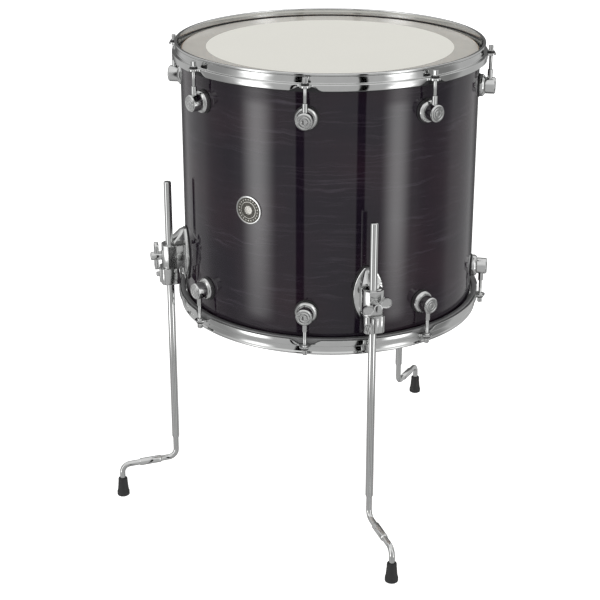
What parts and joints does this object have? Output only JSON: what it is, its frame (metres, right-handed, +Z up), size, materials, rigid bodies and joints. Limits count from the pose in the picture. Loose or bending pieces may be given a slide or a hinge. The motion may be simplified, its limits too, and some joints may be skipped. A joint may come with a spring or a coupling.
{
  "type": "floor tom drum",
  "caption": "Cylindrical wooden drum on adjustable bent legs, with tensioned heads under flanged steel hoops, turret lugs, wing-bolt leg brackets and memory locks.",
  "frame": {"origin": "on the drum's axis at floor level", "axes": "+Z up along the drum's axis; -Y is the front, where the badge is; +X to the right seen from the front"},
  "size_m": [0.4579, 0.5449, 0.662],
  "materials": {
    "stained_lacquered_wood": "dark stained figured veneer under clear gloss lacquer",
    "bare_maple": "sanded and sealed",
    "head_film": "polyester film with a white sprayed playing area and a clear margin",
    "clear_film": "clear polyester film",
    "aluminium": "mill finish",
    "chrome": "polished chrome plate",
    "black_rubber": "moulded, matt",
    "black_nylon": "moulded, satin",
    "zinc_steel": "zinc plated",
    "brass": "turned",
    "badge_metal": "cast plate, plated and lacquered"
  },
  "bodies": {
    "drum": {"shell": "stained_lacquered_wood", "upper_reinforcement_ring": "bare_maple", "lower_reinforcement_ring": "bare_maple", "batter_head_film": "head_film", "batter_flesh_hoop": "aluminium", "resonant_head_film": "clear_film", "resonant_flesh_hoop": "aluminium", "upper_hoop": "chrome", "lower_hoop": "chrome", "lug_gaskets": "black_rubber", "lug_bases": "chrome", "lug_caps": "chrome", "lug_swivel_nuts": "chrome", "lug_screws": "zinc_steel", "lug_screw_washers": "zinc_steel", "rod_washers": "black_nylon", "bracket_gaskets": "black_rubber", "bracket_bodies": "chrome", "bracket_screws": "zinc_steel", "bracket_screw_washers": "zinc_steel", "clamp_shoes": "brass", "badge": "badge_metal", "vent_grommet": "chrome", "vent_grommet_nut": "zinc_steel"},
    "tension_rod_01": {"tension_rod_01": "chrome"},
    "tension_rod_02": {"tension_rod_02": "chrome"},
    "tension_rod_03": {"tension_rod_03": "chrome"},
    "tension_rod_04": {"tension_rod_04": "chrome"},
    "tension_rod_05": {"tension_rod_05": "chrome"},
    "tension_rod_06": {"tension_rod_06": "chrome"},
    "tension_rod_07": {"tension_rod_07": "chrome"},
    "tension_rod_08": {"tension_rod_08": "chrome"},
    "tension_rod_09": {"tension_rod_09": "chrome"},
    "tension_rod_10": {"tension_rod_10": "chrome"},
    "tension_rod_11": {"tension_rod_11": "chrome"},
    "tension_rod_12": {"tension_rod_12": "chrome"},
    "tension_rod_13": {"tension_rod_13": "chrome"},
    "tension_rod_14": {"tension_rod_14": "chrome"},
    "tension_rod_15": {"tension_rod_15": "chrome"},
    "tension_rod_16": {"tension_rod_16": "chrome"},
    "wing_bolt_1": {"wing_bolt_1": "chrome"},
    "memory_lock_1": {"memory_lock_1": "chrome"},
    "lock_key_bolt_1": {"lock_key_bolt_1": "chrome"},
    "leg_1": {"leg_1": "chrome", "foot_1": "black_rubber"},
    "wing_bolt_2": {"wing_bolt_2": "chrome"},
    "memory_lock_2": {"memory_lock_2": "chrome"},
    "lock_key_bolt_2": {"lock_key_bolt_2": "chrome"},
    "leg_2": {"leg_2": "chrome", "foot_2": "black_rubber"},
    "wing_bolt_3": {"wing_bolt_3": "chrome"},
    "memory_lock_3": {"memory_lock_3": "chrome"},
    "lock_key_bolt_3": {"lock_key_bolt_3": "chrome"},
    "leg_3": {"leg_3": "chrome", "foot_3": "black_rubber"}
  },
  "joints": [
    {"name": "tension_rod_01_turn", "type": "hinge", "parent": "drum", "child": "tension_rod_01", "pos_m": [0.08323, -0.20094, 0.65], "axis": [0, 0, 1], "continuous": true},
    {"name": "tension_rod_02_turn", "type": "hinge", "parent": "drum", "child": "tension_rod_02", "pos_m": [0.20094, -0.08323, 0.65], "axis": [0, 0, 1], "continuous": true},
    {"name": "tension_rod_03_turn", "type": "hinge", "parent": "drum", "child": "tension_rod_03", "pos_m": [0.20094, 0.08323, 0.65], "axis": [0, 0, 1], "continuous": true},
    {"name": "tension_rod_04_turn", "type": "hinge", "parent": "drum", "child": "tension_rod_04", "pos_m": [0.08323, 0.20094, 0.65], "axis": [0, 0, 1], "continuous": true},
    {"name": "tension_rod_05_turn", "type": "hinge", "parent": "drum", "child": "tension_rod_05", "pos_m": [-0.08323, 0.20094, 0.65], "axis": [0, 0, 1], "continuous": true},
    {"name": "tension_rod_06_turn", "type": "hinge", "parent": "drum", "child": "tension_rod_06", "pos_m": [-0.20094, 0.08323, 0.65], "axis": [0, 0, 1], "continuous": true},
    {"name": "tension_rod_07_turn", "type": "hinge", "parent": "drum", "child": "tension_rod_07", "pos_m": [-0.20094, -0.08323, 0.65], "axis": [0, 0, 1], "continuous": true},
    {"name": "tension_rod_08_turn", "type": "hinge", "parent": "drum", "child": "tension_rod_08", "pos_m": [-0.08323, -0.20094, 0.65], "axis": [0, 0, 1], "continuous": true},
    {"name": "tension_rod_09_turn", "type": "hinge", "parent": "drum", "child": "tension_rod_09", "pos_m": [0.08323, -0.20094, 0.2984], "axis": [0, 0, 1], "continuous": true},
    {"name": "tension_rod_10_turn", "type": "hinge", "parent": "drum", "child": "tension_rod_10", "pos_m": [0.20094, -0.08323, 0.2984], "axis": [0, 0, 1], "continuous": true},
    {"name": "tension_rod_11_turn", "type": "hinge", "parent": "drum", "child": "tension_rod_11", "pos_m": [0.20094, 0.08323, 0.2984], "axis": [0, 0, 1], "continuous": true},
    {"name": "tension_rod_12_turn", "type": "hinge", "parent": "drum", "child": "tension_rod_12", "pos_m": [0.08323, 0.20094, 0.2984], "axis": [0, 0, 1], "continuous": true},
    {"name": "tension_rod_13_turn", "type": "hinge", "parent": "drum", "child": "tension_rod_13", "pos_m": [-0.08323, 0.20094, 0.2984], "axis": [0, 0, 1], "continuous": true},
    {"name": "tension_rod_14_turn", "type": "hinge", "parent": "drum", "child": "tension_rod_14", "pos_m": [-0.20094, 0.08323, 0.2984], "axis": [0, 0, 1], "continuous": true},
    {"name": "tension_rod_15_turn", "type": "hinge", "parent": "drum", "child": "tension_rod_15", "pos_m": [-0.20094, -0.08323, 0.2984], "axis": [0, 0, 1], "continuous": true},
    {"name": "tension_rod_16_turn", "type": "hinge", "parent": "drum", "child": "tension_rod_16", "pos_m": [-0.08323, -0.20094, 0.2984], "axis": [0, 0, 1], "continuous": true},
    {"name": "wing_bolt_1_turn", "type": "hinge", "parent": "drum", "child": "wing_bolt_1", "pos_m": [0.16122, -0.16122, 0.3675], "axis": [0.7071, -0.7071, 0], "continuous": true},
    {"name": "leg_1_height", "type": "slide", "parent": "drum", "child": "memory_lock_1", "axis": [0, 0, 1], "range_m": [-0.075, 0]},
    {"name": "leg_1_swivel", "type": "hinge", "parent": "memory_lock_1", "child": "leg_1", "pos_m": [0.16122, -0.16122, 0.1], "axis": [0, 0, 1], "continuous": true},
    {"name": "lock_key_bolt_1_turn", "type": "hinge", "parent": "memory_lock_1", "child": "lock_key_bolt_1", "pos_m": [0.15422, -0.16822, 0.3363], "axis": [0.7071, -0.7071, 0], "continuous": true},
    {"name": "wing_bolt_2_turn", "type": "hinge", "parent": "drum", "child": "wing_bolt_2", "pos_m": [-0.16122, -0.16122, 0.3675], "axis": [-0.7071, -0.7071, 0], "continuous": true},
    {"name": "leg_2_height", "type": "slide", "parent": "drum", "child": "memory_lock_2", "axis": [0, 0, 1], "range_m": [-0.075, 0]},
    {"name": "leg_2_swivel", "type": "hinge", "parent": "memory_lock_2", "child": "leg_2", "pos_m": [-0.16122, -0.16122, 0.1], "axis": [0, 0, 1], "continuous": true},
    {"name": "lock_key_bolt_2_turn", "type": "hinge", "parent": "memory_lock_2", "child": "lock_key_bolt_2", "pos_m": [-0.16822, -0.15422, 0.3363], "axis": [-0.7071, -0.7071, 0], "continuous": true},
    {"name": "wing_bolt_3_turn", "type": "hinge", "parent": "drum", "child": "wing_bolt_3", "pos_m": [0, 0.228, 0.3675], "axis": [0, 1, 0], "continuous": true},
    {"name": "leg_3_height", "type": "slide", "parent": "drum", "child": "memory_lock_3", "axis": [0, 0, 1], "range_m": [-0.075, 0]},
    {"name": "leg_3_swivel", "type": "hinge", "parent": "memory_lock_3", "child": "leg_3", "pos_m": [0, 0.228, 0.1], "axis": [0, 0, 1], "continuous": true},
    {"name": "lock_key_bolt_3_turn", "type": "hinge", "parent": "memory_lock_3", "child": "lock_key_bolt_3", "pos_m": [0.0099, 0.228, 0.3363], "axis": [0, 1, 0], "continuous": true}
  ]
}
